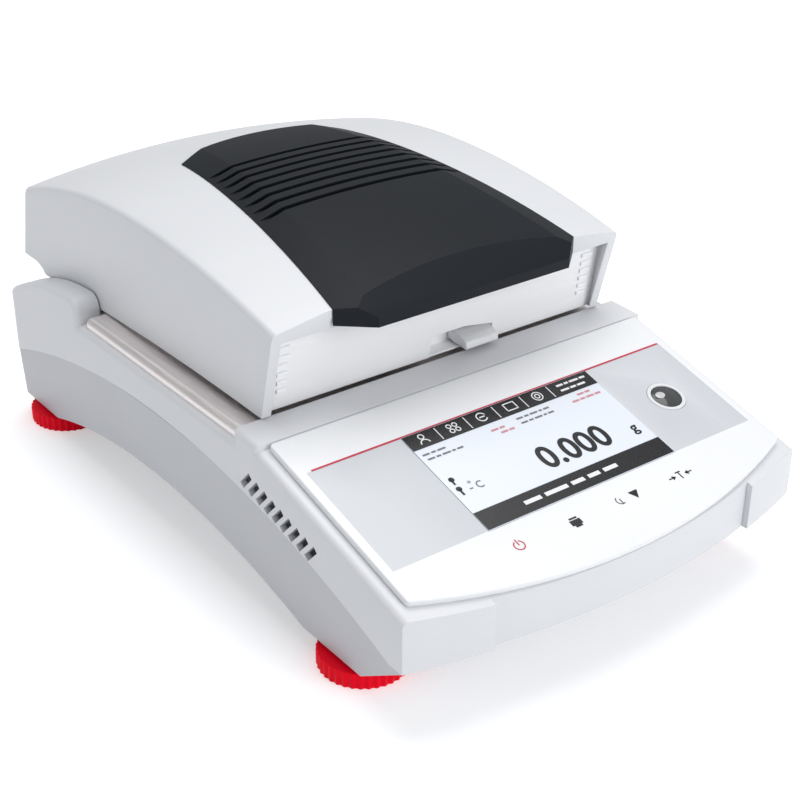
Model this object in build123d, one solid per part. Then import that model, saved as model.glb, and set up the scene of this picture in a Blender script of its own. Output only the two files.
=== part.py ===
from build123d import *
import math
import os

# Halogen moisture analyzer: a bench balance with a heated lid hinged over a round sample chamber.
# Millimetres. X is the width, the front faces -Y, Z is up and the wheels stand on z = 0.
# The origin is under the middle of the object.

# Overall form
half_width = 105.0
rear_y = 172.0
front_y = -172.0
front_sagitta = 15.6          # how far the bowed front runs back at its corners
wall = 2.8                    # moulded housing wall
lower_inset = 5.0             # the lower band leans in by this much
seam = 0.3                    # gap between mouldings
edge_round = 3.0              # long outer edges of the base

# Side view of the base: (y, z) points
deck_z = 77.5                 # flat top under the lid
deck_rear_y = 112.0
rear_top_z = 61.0
rear_bottom_z = 9.2
bridge_y = -45.6              # the control deck starts here
bridge_z = 84.0
crease_rear_z = 32.5
crease_mid_z = 63.5
crease_front_z = 29.0
arch_mid_z = 27.0
front_foot_z = 9.0            # lowest part of the lower edge, over the front wheels
chin_y = -124.0
block_bottom_z = 32.0

# Control panel
panel_slope = 0.275
panel_y = -64.0
panel_z = 83.6
panel_rise = 3.0
panel_half_width = 99.5
panel_front = 110.0
panel_corner_front = 91.5
block_inner_x = 69.0
block_proud = 2.5
screen_width = 100.0
screen_length = 57.0
screen_start = 20.2
screen_thick = 1.2
screen_edge = 4.0             # how far the window behind the screen is smaller on each side
level_x = 72.6
level_v = -49.2
level_radius = 7.0
level_bezel_radius = 8.6
level_bezel_thick = 1.15
module_thick = 7.0            # display module under the screen

# Cheeks beside the lid
cheek_inner_x = 92.6
cheek_front_y = 90.0
cheek_peak_z = 89.5
cheek_mid_y = 132.0
cheek_mid_z = 84.0
cheek_rear_z = 66.0

# Lid
lid_half_width = 91.8
lid_wall = 2.6
lid_peak_y = 58.0
lid_peak_z = 146.2
lid_crown = 7.6               # how much higher the middle is than the side crease
lid_front_radius = 486.0
lid_rear_radius = 317.0
lid_front_top_y = -57.0
lid_front_top_z = 125.4
lid_front_bottom_y = -46.6
lid_front_bottom_z = 84.6
lid_mid_bottom_z = 84.9
lid_rear_top_y = 161.7
lid_rear_top_z = 119.0
lid_rear_bottom_y = 170.5
lid_rear_bottom_z = 84.2
lid_ear_y = 147.5
lid_ear_z = 80.0
lid_edge_round = 3.0
visor_depth = 7.0             # thickness of the lid's top at the front
jamb = 4.5                    # side walls seen beside the front panel
front_panel_thick = 2.4
front_panel_lean = 5.8        # the panel leans forward by this much

# Louvres on the front panel
louvre_count = 7
louvre_top_z = 117.2
louvre_pitch = 3.9
louvre_x = 81.5
louvre_length = 6.6
louvre_taper = 0.35           # each louvre is this much shorter than the one above

# Hinge
hinge_y = rear_y - 24.0
hinge_z = 92.0
hinge_pin_radius = 3.0
hinge_x = lid_half_width - 17.8
hinge_plate = 4.0
hinge_plate_reach = 8.0       # half the plate's length, and its round end
hinge_plate_foot_z = 38.0
hinge_foot_half = 9.0
hinge_lug = 4.0
hinge_lug_top = 120.0
running_gap = 0.05
side_gap = 0.3

# Vent cover on the lid
cover_front_half = 64.0
cover_nose_half = 50.5
cover_rear_half = 45.0
cover_rear_y = 90.0
cover_rear_bow = 10.0         # how far the rear edge bows back in the middle
cover_facet = 13.0            # sloping strips along both sides
cover_facet_drop = 3.0
cover_nose_top_z = 126.0      # top edge of the nose's front face
cover_nose_slope = 0.72       # rise of the bevel above the nose
cover_corner_y = -57.5
cover_nose_y = -69.5
cover_proud = 3.4
cover_thick = 5.2
cover_seat = 6.0
cover_lip = 2.2
lip_z = 121.7
rib_count = 8
rib_first_y = 60.4
rib_pitch = 7.35
rib_groove = 2.8
rib_depth = 2.2

# Chamber and weighing
chamber_y = 25.0
tray_half_width = 101.8
tray_top_z = 82.0
tray_wall = 1.2
tray_round = 3.2              # rounded side and rear edges of the tray's top
tray_rear_y = 88.0
tray_front_y = -43.3
well_radius = 60.0
well_wall = 1.0
well_rim = 2.4
well_opening = 59.0           # half the square opening in the deck, under the tray
well_floor_z = 62.0
pan_radius = 45.0
pan_height = 7.0
pan_wall = 0.5
pan_z = 77.6                  # underside of the pan
pan_rest_z = 74.2             # top of the pan support's arms
arm_width = 7.0
arm_thick = 2.4
shaft_radius = 4.0
shaft_bottom_z = 50.3
hub_radius = 8.0
handler_radius = 46.6
handler_thick = 3.2
handler_grip = 18.0
shield_radius = well_radius - 3.4
shield_wall = 1.2
shield_top_z = 82.0
cell_top_z = 49.6
cell_height = 13.6
cell_half_width = 22.0
cell_flexure = 5.0

# Heater
glass_radius = 50.0
glass_thick = 3.0
reflector_height = 17.0
lamp_radius = 34.0
lamp_tube = 4.2
liner_z = 96.5
liner_thick = 1.2
liner_front_y = -33.8
liner_rear_y = hinge_y - 9.0

# Connectors in the back wall
port_gap = 0.1
flange_side = 9.0
flange_edge = 1.5
flange_thick = 1.6

# Feet
foot_x = half_width - 19.0
foot_front_y = front_y + 65.0
foot_rear_y = rear_y - 22.0
foot_radius = 19.2
foot_height = 7.2
foot_teeth = 36
foot_groove = 0.8
stud_radius = 4.0
stud_length = 24.0
insert_radius = 7.0
insert_z = 12.0
insert_height = 10.0

# Screws
screw_radius = 1.6
screw_head = 3.2
post_radius = 4.5
counterbore = 1.0
base_screw_x = half_width - 30.0
base_screws = [(-base_screw_x, -30.0), (base_screw_x, -30.0), (-15.0, 128.0), (15.0, 128.0)]
lid_screw_x = lid_half_width - 11.8
lid_screw_rear_y = hinge_y - 22.0
lid_screws = [(x, y) for x in (-lid_screw_x, lid_screw_x) for y in (-30.0, lid_screw_rear_y)]

# Boards in the base: (x0, y0, x1, y1) and the height they stand at
board_thick = 1.6
board_edge_gap = 5.2
post_inset = 6.0
board_post_radius = 3.5
inside_x = half_width - lower_inset - wall
main_board_plan = (inside_x - board_edge_gap - 62.0, 46.0, inside_x - board_edge_gap, 134.0)
supply_plan = (-inside_x + board_edge_gap, 50.0, -inside_x + board_edge_gap + 58.0, 138.0)
board_z = 44.0
supply_z = 36.0

# Handle at the lid's front edge
handle_left = -4.5
handle_right = 31.0
handle_top = 95.5
handle_depth = 7.0
handle_wall = 1.8             # wall of the grip pocket
handle_floor = 0.9
grip_left = 11.5
grip_reach = 6.0

# Side vents
vent_count = 9
vent_width = 3.0
vent_length = 9.5
vent_pitch_y = 5.6
vent_pitch_z = 1.35
vent_y = -54.5
vent_z = 64.5
vent_turn = 43.0

os.makedirs("parts", exist_ok=True)
panel_plane = Plane(origin=(0, panel_y, panel_z), x_dir=(1, 0, 0), z_dir=(0, -panel_slope, 1))
tilt = math.atan(panel_slope)
screen_place = Pos(0, -screen_start - screen_length / 2)
level_place = Pos(level_x, level_v)


def save(shape, name):
    export_step(shape, f"parts/{name}.step")


def side_prism(face_lines, x0, x1):
    """Extrude a closed side outline, drawn in (y, z), between two x values."""
    face = make_face(face_lines)
    return extrude(Plane(origin=(x0, 0, 0), x_dir=(0, 1, 0), z_dir=(1, 0, 0)) * face, amount=x1 - x0)


def box_between(low, high):
    size = [b - a for a, b in zip(low, high)]
    centre = [(a + b) / 2 for a, b in zip(low, high)]
    return Pos(*centre) * Box(*size)


def rod(radius, start, direction, length):
    plane = Plane(origin=start, z_dir=direction)
    return extrude(plane * Circle(radius), amount=length)


def upright(sketch):
    """Extrude a plan sketch far past the object, up and down."""
    return extrude(Plane(origin=(0, 0, -20)) * sketch, amount=220)


def front_view(points, y, depth):
    """A prism of an (x, z) outline that starts at y and runs depth towards the front."""
    outline = make_face(Polyline(*points, close=True))
    return extrude(Plane(origin=(0, y, 0), x_dir=(1, 0, 0), z_dir=(0, -1, 0)) * outline, amount=depth)


def tube(outer, inner, z0, z1, at=(0, 0)):
    ring = Circle(outer) - Circle(inner)
    return extrude(Plane(origin=(at[0], at[1], z0)) * ring, amount=z1 - z0)


def plan_outline(inset, proud=0.0):
    """Plan of the base: straight sides, rounded back, bowed front."""
    x = half_width - inset
    back = rear_y - inset
    corner = front_y + front_sagitta + inset
    nose = front_y + inset + proud
    lines = Curve() + Line((-x, back), (x, back)) + Line((x, back), (x, corner))
    lines += ThreePointArc((x, corner), (0, nose), (-x, corner))
    lines += Line((-x, corner), (-x, back))
    return make_face(lines)


def plan_prism(inset, corner_round, z0=-20.0, z1=120.0):
    prism = extrude(Plane(origin=(0, 0, z0)) * plan_outline(inset), amount=z1 - z0)
    rear_edges = prism.edges().filter_by(Axis.Z).group_by(Axis.Y)[-1]
    return fillet(rear_edges, corner_round)


def deck_line_z(y, sink=0.0):
    """Height of the control deck, which lies under the raised panel."""
    return panel_z - panel_rise / math.cos(tilt) + (y - panel_y) * panel_slope - sink


# Base housings
def crease_arc(drop=0.0):
    rear = (rear_y + 6, crease_rear_z - drop)
    mid = (10.0, crease_mid_z - drop)
    front = (front_y - 6, crease_front_z - 10 - drop)
    return rear, mid, front


def upper_region(sink, reach):
    """Side outline of the upper housing's top, sunk by sink, down to z = reach."""
    front_z = deck_line_z(front_y - 8, sink)
    step_y = panel_y + panel_rise * panel_slope + seam + sink
    points = [(rear_y + 8, reach), (rear_y + 8, rear_top_z - sink - 2.0), (deck_rear_y, deck_z - sink),
              (bridge_y + sink, deck_z - sink), (bridge_y + sink, bridge_z - sink),
              (step_y, panel_z - seam - sink), (step_y, deck_line_z(step_y, sink)), (front_y - 8, front_z),
              (front_y - 8, reach)]
    return Polyline(*points, close=True)


def below_crease(x, drop=0.0):
    """Everything under the crease, as a prism."""
    rear, mid, front = crease_arc(drop)
    lines = Curve() + ThreePointArc(rear, mid, front) + Line(front, (front[0], -40))
    lines += Line((front[0], -40), (rear[0], -40)) + Line((rear[0], -40), rear)
    return side_prism(lines, -x, x)


def cheek_blank(x0, x1):
    foot = (cheek_front_y, deck_z - 6)
    shoulder = (cheek_front_y, cheek_peak_z - 6.5)
    top_front = (cheek_front_y + 6.0, cheek_peak_z)
    rear_top = (rear_y, cheek_rear_z)
    rear_foot = (rear_y, deck_z - 30)
    lines = Curve() + Line(foot, shoulder)
    lines += ThreePointArc(shoulder, (cheek_front_y + 1.8, cheek_peak_z - 1.8), top_front)
    lines += ThreePointArc(top_front, (cheek_mid_y, cheek_mid_z), rear_top)
    lines += Line(rear_top, rear_foot) + Line(rear_foot, foot)
    return side_prism(lines, x0, x1)


def middle_recess():
    """The strip that sets the middle of the front back from the blocks at both ends."""
    strip = upright(plan_outline(0.0) - plan_outline(block_proud))
    return strip & box_between((-block_inner_x, front_y - 10, -20), (block_inner_x, front_y + 60, 120))


def upper_housing():
    body = side_prism(upper_region(0.0, -10), -half_width, half_width)
    body += cheek_blank(cheek_inner_x, half_width)
    body += cheek_blank(-half_width, -cheek_inner_x)
    body &= plan_prism(0.0, 14.0)
    outer_edges = body.edges().filter_by(lambda e: abs(abs(e.center().X) - half_width) < 1.0)
    body = fillet(outer_edges.filter_by(lambda e: e.center().Z > 40), edge_round)
    body -= below_crease(half_width + 5)
    body -= box_between((-150, front_y - 20, -20), (150, front_y + 30, block_bottom_z))
    body -= middle_recess()
    cavity = side_prism(upper_region(wall, -10), -half_width + wall, half_width - wall)
    cavity &= plan_prism(wall, 12.0)
    body -= cavity
    for x, y in base_screws:
        post = rod(post_radius, (x, y, 14), (0, 0, 1), 70) - rod(screw_radius, (x, y, 0), (0, 0, 1), 45)
        post &= above_lower_edge(wall + seam, -200, 200)
        body += post & side_prism(upper_region(1.0, -10), -200, 200)
    # chamber opening, screen window, level window
    body -= box_between((-well_opening, chamber_y - well_opening, 40),
                        (well_opening, chamber_y + well_opening, 110))
    window = Rectangle(screen_width - 2 * screen_edge, screen_length - 2 * screen_edge)
    body -= extrude(panel_plane * screen_place * window, amount=12, both=True)
    body -= extrude(panel_plane * level_place * Circle(level_radius + 0.4), amount=14, both=True)
    # slanted vent slots in both side walls
    for side in (-1, 1):
        for i in range(vent_count):
            y = vent_y - i * vent_pitch_y
            z = vent_z - i * vent_pitch_z
            slot = Rotation(vent_turn, 0, 0) * Box(12, vent_width, vent_length)
            body -= Pos(side * half_width, y, z) * slot
    # openings for the connectors in the back wall
    for x, z, w, h in connectors():
        body -= box_between((x - w / 2, rear_y - 8, z - h / 2), (x + w / 2, rear_y + 4, z + h / 2))
    x, z, w, h = connectors()[0]
    body -= box_between((x - w / 2 - flange_side, rear_y - flange_thick, z - h / 2 - flange_edge),
                        (x + w / 2 + flange_side, rear_y + 4, z + h / 2 + flange_edge))
    # slots in the deck for the hinge plates
    for side in (-1, 1):
        body -= box_between((side * hinge_x - hinge_plate / 2 - side_gap, hinge_y - 9, 40),
                            (side * hinge_x + hinge_plate / 2 + side_gap, hinge_y + 9, 90))
    return body


def connectors():
    """Centre x, centre z, width and height of the back wall's openings."""
    mains = (-44.0, 46.6, 27.4, 19.6)
    serial = (16.0, 46.0, 31.0, 12.5)
    usb_host = (46.0, 46.0, 14.0, 7.0)
    usb_device = (64.0, 46.0, 12.5, 11.5)
    return [mains, serial, usb_host, usb_device]


def lower_curve(drop):
    """Lower edge of the base in side view, arched between the feet."""
    lines = Curve() + Line((rear_y + 8, rear_bottom_z + drop), (rear_y - 38, rear_bottom_z + drop))
    lines += ThreePointArc((rear_y - 38, rear_bottom_z + drop), (40, arch_mid_z + drop),
                           (foot_front_y + 22, front_foot_z + drop))
    lines += Line((foot_front_y + 22, front_foot_z + drop), (chin_y, front_foot_z + drop))
    lines += Line((chin_y, front_foot_z + drop), (front_y + 14, block_bottom_z + drop))
    lines += Line((front_y + 14, block_bottom_z + drop), (front_y - 8, block_bottom_z + drop))
    return lines


def above_lower_edge(drop, x0, x1):
    front_top = (front_y - 8, 110)
    rear_top = (rear_y + 8, 110)
    lines = lower_curve(drop) + Line((front_y - 8, block_bottom_z + drop), front_top)
    lines += Line(front_top, rear_top) + Line(rear_top, (rear_y + 8, rear_bottom_z + drop))
    return side_prism(lines, x0, x1)


def band_wedge(side):
    """What the leaning lower band removes outside the bottom edge."""
    top = crease_mid_z
    points = [(half_width, top), (half_width + 20, top), (half_width + 20, -20),
              (half_width - lower_inset - 4.0, -20), (half_width - lower_inset, rear_bottom_z)]
    face = make_face(Polyline(*points, close=True))
    wedge = extrude(Plane(origin=(0, rear_y + 20, 0), x_dir=(1, 0, 0), z_dir=(0, -1, 0)) * face, amount=400)
    return wedge if side > 0 else mirror(wedge, about=Plane.YZ)


def lower_housing():
    body = above_lower_edge(0.0, -half_width, half_width)
    body &= plan_prism(0.0, 14.0)
    body &= below_crease(half_width + 5, seam)
    body -= band_wedge(1)
    body -= band_wedge(-1)
    cavity = above_lower_edge(wall, -half_width + lower_inset + wall, half_width - lower_inset - wall)
    cavity &= plan_prism(wall + 2.0, 12.0)
    body -= cavity
    body -= middle_recess()
    floor = plan_prism(wall + seam, 10.0, block_bottom_z, block_bottom_z + wall)
    body += floor & box_between((-half_width, front_y, 0), (half_width, front_y + 34, 60))
    posts = Part()
    for plan, top in ((main_board_plan, board_z), (supply_plan, supply_z)):
        for x, y in post_places(plan):
            posts += rod(board_post_radius, (x, y, 0), (0, 0, 1), top - running_gap)
    body += posts & above_lower_edge(0.5, -200, 200)
    for x, y in base_screws:
        body -= rod(screw_radius + 0.2, (x, y, 0), (0, 0, 1), 60)
        body -= rod(screw_head + 0.2, (x, y, 0), (0, 0, 1), screw_floor(y) + counterbore)
    for x, y in foot_places():
        body += tube(insert_radius + 3.0, insert_radius, insert_z - 2.0, insert_z + insert_height, (x, y))
        body -= rod(insert_radius, (x, y, insert_z - 0.2), (0, 0, 1), 30)
        body -= rod(stud_radius + 0.6, (x, y, 0), (0, 0, 1), 40)
    return body


def post_places(plan):
    x0, y0, x1, y1 = plan
    return [(x, y) for x in (x0 + post_inset, x1 - post_inset) for y in (y0 + post_inset, y1 - post_inset)]


def foot_places():
    return [(-foot_x, foot_front_y), (foot_x, foot_front_y), (-foot_x, foot_rear_y), (foot_x, foot_rear_y)]


# Control panel and what it holds
def panel_outline(inset):
    x = panel_half_width - inset
    corner = -panel_corner_front + inset
    lines = Curve() + Line((-x, -inset), (x, -inset)) + Line((x, -inset), (x, corner))
    lines += ThreePointArc((x, corner), (0, -panel_front + inset), (-x, corner))
    lines += Line((-x, corner), (-x, -inset))
    return make_face(lines)


def control_panel():
    plate = extrude(panel_plane * panel_outline(0.0), amount=-panel_rise)
    plate = fillet(plate.edges().filter_by(lambda e: abs(e.length - panel_rise) < 0.01), 1.8)
    recess = Rectangle(screen_width + 0.2, screen_length + 0.2)
    plate -= extrude(panel_plane * screen_place * recess, amount=-screen_thick - 0.05)
    window = Rectangle(screen_width - 2 * screen_edge, screen_length - 2 * screen_edge)
    plate -= extrude(panel_plane * screen_place * window, amount=-panel_rise - 1)
    plate -= extrude(panel_plane * level_place * Circle(level_bezel_radius), amount=-level_bezel_thick - 0.05)
    plate -= extrude(panel_plane * level_place * Circle(level_radius + 0.4), amount=-panel_rise - 1)
    return plate


def in_panel(sketch, depth, thick):
    """A prism under the panel's top face: its top lies depth below it."""
    return extrude(Plane(origin=panel_plane.origin - panel_plane.z_dir * depth, x_dir=panel_plane.x_dir,
                         z_dir=panel_plane.z_dir) * sketch, amount=-thick)


def panel_parts():
    save(control_panel(), "control_panel")
    screen = screen_place * Rectangle(screen_width, screen_length)
    save(in_panel(screen, 0.0, screen_thick), "touch_screen")
    module = screen_place * Rectangle(screen_width - 9, screen_length - 9)
    module_depth = screen_thick + running_gap
    save(in_panel(module, module_depth, module_thick), "display_module")
    board = in_panel(Pos(0, -52) * Rectangle(176, 78), module_depth + module_thick, board_thick)
    board -= in_panel(level_place * Circle(level_radius + 3), 0, 30)
    save(board, "display_board")
    bezel = level_place * (Circle(level_bezel_radius - 0.05) - Circle(level_radius))
    save(in_panel(bezel, 0.0, level_bezel_thick), "level_bezel")
    save(in_panel(level_place * Circle(level_radius - 0.05), 0.5, 8.0), "level_vial")


# Chamber and weighing
def chamber_tray():
    outer = box_between((-tray_half_width, tray_front_y, deck_z + running_gap),
                        (tray_half_width, tray_rear_y, tray_top_z))
    outer = fillet(outer.edges().filter_by(Axis.X).group_by(Axis.Z)[-1].sort_by(Axis.Y)[-1], tray_round)
    outer = fillet(outer.edges().filter_by(Axis.Y).group_by(Axis.Z)[-1], tray_round)
    inner = box_between((-tray_half_width + tray_wall, tray_front_y + tray_wall, deck_z - 5),
                        (tray_half_width - tray_wall, tray_rear_y - 4.5, tray_top_z - tray_wall))
    tray = outer - inner
    tray -= rod(well_radius, (0, chamber_y, 50), (0, 0, 1), 60)
    return tray


def chamber_well():
    outer = well_radius - 1.6
    lip = tray_top_z + 0.8
    rim = tube(well_radius + well_rim, outer, tray_top_z + 0.02, lip, (0, chamber_y))
    side = tube(outer, outer - well_wall, well_floor_z, lip, (0, chamber_y))
    floor = tube(outer, hub_radius + 1, well_floor_z, well_floor_z + well_wall, (0, chamber_y))
    return rim + side + floor


def pan_support():
    arm_z = pan_rest_z - arm_thick
    shaft = rod(shaft_radius, (0, chamber_y, shaft_bottom_z), (0, 0, 1), arm_z - shaft_bottom_z)
    hub = rod(hub_radius, (0, chamber_y, arm_z - 3.8), (0, 0, 1), 3.8)
    length = 2 * handler_radius - 9
    arms = Box(length, arm_width, arm_thick) + Box(arm_width, length, arm_thick)
    return shaft + hub + Pos(0, chamber_y, pan_rest_z - arm_thick / 2) * arms


def pan_handler():
    bottom = pan_rest_z + 0.1
    top = bottom + handler_thick
    ring = tube(handler_radius, pan_radius - 5.0, bottom, top, (0, chamber_y))
    front = chamber_y - handler_radius
    grip = box_between((-handler_grip / 2, front - 2.0, bottom), (handler_grip / 2, front + 4, top))
    return ring + grip


def sample_pan():
    blank = Pos(0, chamber_y, pan_z + pan_height / 2) * Cylinder(pan_radius, pan_height)
    return offset(blank, amount=-pan_wall, openings=blank.faces().sort_by(Axis.Z)[-1])


def weighing_parts():
    save(chamber_tray(), "chamber_tray")
    save(chamber_well(), "chamber_well")
    shield_bottom = well_floor_z + well_wall + running_gap
    shield = tube(shield_radius, shield_radius - shield_wall, shield_bottom, shield_top_z, (0, chamber_y))
    save(shield, "draft_shield")
    save(pan_support(), "pan_support")
    save(pan_handler(), "pan_handler")
    save(sample_pan(), "sample_pan")
    x = cell_half_width
    bottom = cell_top_z - cell_height
    bar = box_between((-x, chamber_y - 66, bottom), (x, chamber_y + 8, cell_top_z))
    for y in (chamber_y - 41, chamber_y - 25):
        bar -= rod(cell_flexure, (-x - 5, y, cell_top_z - cell_height / 2), (1, 0, 0), 2 * x + 10)
    save(bar, "load_cell")
    base = box_between((-x - 4, chamber_y - 72, 5), (x + 4, chamber_y - 52, bottom - running_gap))
    save(base & above_lower_edge(wall + 0.02, -half_width, half_width), "load_cell_base")


# Electronics in the base
def base_electronics():
    x0, y0, x1, y1 = main_board_plan
    top = board_z + board_thick
    board = box_between((x0, y0, board_z), (x1, y1, top))
    board += box_between((x0 + 14, y0 + 24, top), (x0 + 36, y0 + 46, top + 2.4))
    board += box_between((x0 + 18, y1 - 14, top), (x1 - 16, y1 - 4, top + 7.4))
    save(board, "main_board")
    x0, y0, x1, y1 = supply_plan
    top = supply_z + board_thick
    supply = box_between((x0, y0, supply_z), (x1, y1, top))
    supply += box_between((x0 + 8, y0 + 12, top), (x0 + 32, y0 + 38, top + 22.4))
    supply += box_between((x1 - 20, y0 + 10, top), (x1 - 8, y0 + 36, top + 18.4))
    supply += box_between((x0 + 8, y0 + 50, top), (x1 - 10, y0 + 56, top + 24.4))
    save(supply, "power_supply")
    rear_connectors()


def port_block(opening, depth, front=0.0):
    """A block that fills an opening of the back wall, with a small clearance round it."""
    x, z, w, h = opening
    w, h = w / 2 - port_gap, h / 2 - port_gap
    return box_between((x - w, rear_y - depth, z - h), (x + w, rear_y - front, z + h))


def rear_connectors():
    mains, serial, *usb = connectors()
    x, z, w, h = mains
    flange_w = w / 2 + flange_side - port_gap
    flange_h = h / 2 + flange_edge - port_gap
    inlet = port_block(mains, 20.0, 0.2)
    inlet += box_between((x - flange_w, rear_y - flange_thick + 0.05, z - flange_h), (x + flange_w, rear_y, z + flange_h))
    inlet -= box_between((x - 11, rear_y - 15, z - 7.5), (x + 11, rear_y + 5, z + 7.5))
    save(inlet, "mains_inlet")
    pins = Part()
    for dx, dz in ((-6, -1.5), (6, -1.5), (0, 2.0)):
        pins += box_between((x + dx - 1, rear_y - 15, z + dz - 2), (x + dx + 1, rear_y - 6, z + dz + 2))
    save(pins, "inlet_pins")
    x, z, w, h = serial
    socket = box_between((x - 8.5, rear_y - 5, z - 4.2), (x + 8.5, rear_y + 5, z + 4.2))
    save(port_block(serial, 14.0) - socket, "serial_port")
    ports = Part()
    for x, z, w, h in usb:
        mouth = box_between((x - w / 2 + 1, rear_y - 9, z - h / 2 + 1), (x + w / 2 - 1, rear_y + 5, z + h / 2 - 1))
        ports += port_block((x, z, w, h), 16.0) - mouth
    save(ports, "usb_ports")


# Hinge
def hinge_parts():
    plates = Part()
    pins = Part()
    lugs = Part()
    r = hinge_plate_reach
    foot_top = hinge_plate_foot_z + 2.0
    for side in (-1, 1):
        x0 = side * hinge_x - hinge_plate / 2
        lines = Curve() + Line((hinge_y - r, foot_top), (hinge_y + r, foot_top))
        lines += Line((hinge_y + r, foot_top), (hinge_y + r, hinge_z))
        lines += ThreePointArc((hinge_y + r, hinge_z), (hinge_y, hinge_z + r), (hinge_y - r, hinge_z))
        lines += Line((hinge_y - r, hinge_z), (hinge_y - r, foot_top))
        plate = side_prism(lines, x0, x0 + hinge_plate)
        plate += box_between((side * hinge_x - hinge_foot_half, hinge_y - r, hinge_plate_foot_z),
                             (side * hinge_x + hinge_foot_half, hinge_y + r, foot_top))
        plates += plate - rod(hinge_pin_radius, (x0 - 5, hinge_y, hinge_z), (1, 0, 0), hinge_plate + 10)
        pin_half = hinge_plate / 2 + side_gap + hinge_lug + 0.7
        pins += rod(hinge_pin_radius, (side * hinge_x - pin_half, hinge_y, hinge_z), (1, 0, 0), 2 * pin_half)
        lines = Curve() + Line((hinge_y - r, hinge_z), (hinge_y - r, hinge_lug_top))
        lines += Line((hinge_y - r, hinge_lug_top), (hinge_y + r, hinge_lug_top))
        lines += Line((hinge_y + r, hinge_lug_top), (hinge_y + r, hinge_z))
        lines += ThreePointArc((hinge_y + r, hinge_z), (hinge_y, hinge_z - r), (hinge_y - r, hinge_z))
        outer = hinge_plate / 2 + side_gap + hinge_lug
        block = side_prism(lines, side * hinge_x - outer, side * hinge_x + outer)
        slot_half = hinge_plate / 2 + side_gap
        block -= box_between((side * hinge_x - slot_half, hinge_y - r - 1, 0),
                             (side * hinge_x + slot_half, hinge_y + r + 1, hinge_lug_top - hinge_lug))
        bore_start = (side * hinge_x - outer - 1, hinge_y, hinge_z)
        lugs += block - rod(hinge_pin_radius + running_gap, bore_start, (1, 0, 0), 2 * outer + 2)
    save(plates, "hinge_plates")
    save(pins, "hinge_pins")
    save(lugs, "lid_hinge_lugs")


# Lid
def crowned_solid(rise, half, floor_z=60.0):
    """Everything under the lid's double-curved top, raised by rise."""
    crown_radius = (lid_half_width ** 2 + lid_crown ** 2) / (2 * lid_crown)
    top = lid_peak_z + rise
    edge = top - crown_radius + math.sqrt(crown_radius ** 2 - half ** 2)
    lines = Curve() + ThreePointArc((-half, edge), (0, top), (half, edge))
    lines += Line((half, edge), (half, floor_z)) + Line((half, floor_z), (-half, floor_z))
    lines += Line((-half, floor_z), (-half, edge))
    section = Plane(origin=(0, lid_peak_y, 0), x_dir=(1, 0, 0), z_dir=(0, -1, 0)) * make_face(lines)
    front = revolve(section, Axis((0, lid_peak_y, lid_peak_z - lid_front_radius), (1, 0, 0)), 18)
    rear = revolve(section, Axis((0, lid_peak_y, lid_peak_z - lid_rear_radius), (-1, 0, 0)), 26)
    return front + rear


def lid_block(inset, bottom_extra=0.0):
    """The lid's outer form, or its inside when inset is not zero."""
    half = lid_half_width - inset
    return crowned_solid(-inset, half) & side_prism(lid_side(inset, bottom_extra), -half - 5, half + 5)


def lid_side(inset, drop):
    """Side outline of the lid: bottom edge, front edge and back edge."""
    front_bottom = (lid_front_bottom_y + inset, lid_front_bottom_z - drop)
    front_top = (lid_front_top_y + inset, lid_front_top_z)
    rear_top = (lid_rear_top_y - inset, lid_rear_top_z)
    rear_bottom = (lid_rear_bottom_y - inset, lid_rear_bottom_z - drop)
    arc_start = (lid_ear_y + 11, lid_rear_bottom_z - drop)
    arc_end = (lid_ear_y + 1, lid_ear_z - drop)
    ear_front = (100.0, lid_ear_z + 2 - drop)
    lines = Curve() + Line(front_bottom, front_top) + Line(front_top, (front_top[0], 160))
    lines += Line((front_top[0], 160), (rear_top[0], 160)) + Line((rear_top[0], 160), rear_top)
    lines += Line(rear_top, rear_bottom) + Line(rear_bottom, arc_start)
    lines += ThreePointArc(arc_start, (lid_ear_y + 5.5, lid_rear_bottom_z - drop - 1.2), arc_end)
    lines += Line(arc_end, ear_front)
    lines += ThreePointArc(ear_front, (20, lid_mid_bottom_z - drop), front_bottom)
    return lines


def lid_shell():
    shell = lid_block(0.0)
    side_edges = shell.edges().filter_by(lambda e: e.length > 90 and e.center().Z > 112)
    side_edges = side_edges.filter_by(lambda e: abs(abs(e.center().X) - lid_half_width) < 0.5)
    shell = fillet(side_edges, lid_edge_round)
    shell -= lid_block(lid_wall, 12.0)
    # the front is open between the jambs, under the visor
    top = lid_front_top_z - visor_depth + 1.5
    shell -= box_between((-lid_half_width + jamb, lid_front_top_y - 20, 60),
                         (lid_half_width - jamb, lid_front_top_y + 16, top))
    # window under the vent cover
    shell -= upright(cover_plan(-cover_seat)) & box_between((-90, -90, 100), (90, 120, 180))
    # notches in the back wall, which swing past the hinge plates
    for side in (-1, 1):
        shell -= box_between((side * hinge_x - hinge_plate / 2 - 0.6, hinge_y + 10, 60),
                             (side * hinge_x + hinge_plate / 2 + 0.6, rear_y + 5, hinge_z + 5))
    posts = Part()
    for x, y in lid_screws:
        posts += rod(post_radius, (x, y, liner_z + liner_thick + 0.05), (0, 0, 1), 60)
    shell += posts & lid_block(0.5, 12.0)
    for x, y in lid_screws:
        shell -= rod(screw_radius, (x, y, liner_z), (0, 0, 1), 12)
    return shell


def cover_plan(grow):
    """Plan outline of the vent cover, grown by grow."""
    rear_right = (cover_rear_half + grow, cover_rear_y + grow)
    rear_left = (-cover_rear_half - grow, cover_rear_y + grow)
    corner_half = cover_front_half + grow
    nose_half = cover_nose_half + grow
    nose_y = cover_nose_y - grow
    lines = Curve() + Polyline(rear_left, (-corner_half, cover_corner_y), (-nose_half, nose_y),
                               (nose_half, nose_y), (corner_half, cover_corner_y), rear_right)
    lines += ThreePointArc(rear_right, (0, cover_rear_y + cover_rear_bow + grow), rear_left)
    return make_face(lines)


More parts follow.
